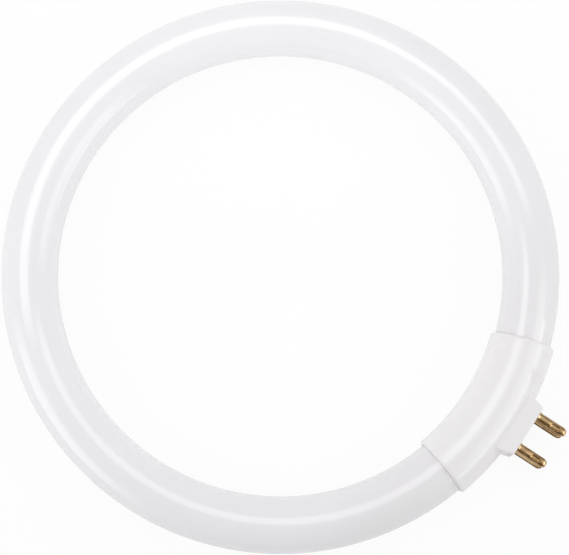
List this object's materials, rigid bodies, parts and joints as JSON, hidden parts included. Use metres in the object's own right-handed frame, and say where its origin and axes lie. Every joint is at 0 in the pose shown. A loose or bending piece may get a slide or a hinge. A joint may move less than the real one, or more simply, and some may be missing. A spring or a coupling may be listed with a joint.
{
  "type": "fluorescent tube",
  "caption": "Ring-shaped fluorescent tube: white-coated glass bent into a circle, its ends joined by a moulded base with brass contact pins that point outward.",
  "frame": {"origin": "on the front face of the base, in the middle of the four contact pins", "axes": "+X the way the pins point, away from the centre of the ring; +Z along the axis of the ring, upward as the tube lies flat; +Y completes a right-handed set"},
  "size_m": [0.1317, 0.122, 0.0142],
  "materials": {
    "coated_glass": "gloss, opaque white from the powder coat inside",
    "white_plastic": "semi-gloss moulded",
    "pin_brass": "drawn, lightly tarnished",
    "wire_nickel": "drawn"
  },
  "bodies": {
    "root": {"glass_tube": "coated_glass", "base_shell_upper": "white_plastic", "base_shell_lower": "white_plastic", "contact_pin_upper_left": "pin_brass", "contact_pin_upper_right": "pin_brass", "contact_pin_lower_left": "pin_brass", "contact_pin_lower_right": "pin_brass", "lead_wire_upper_left": "wire_nickel", "lead_wire_upper_right": "wire_nickel", "lead_wire_lower_left": "wire_nickel", "lead_wire_lower_right": "wire_nickel"}
  },
  "joints": []
}
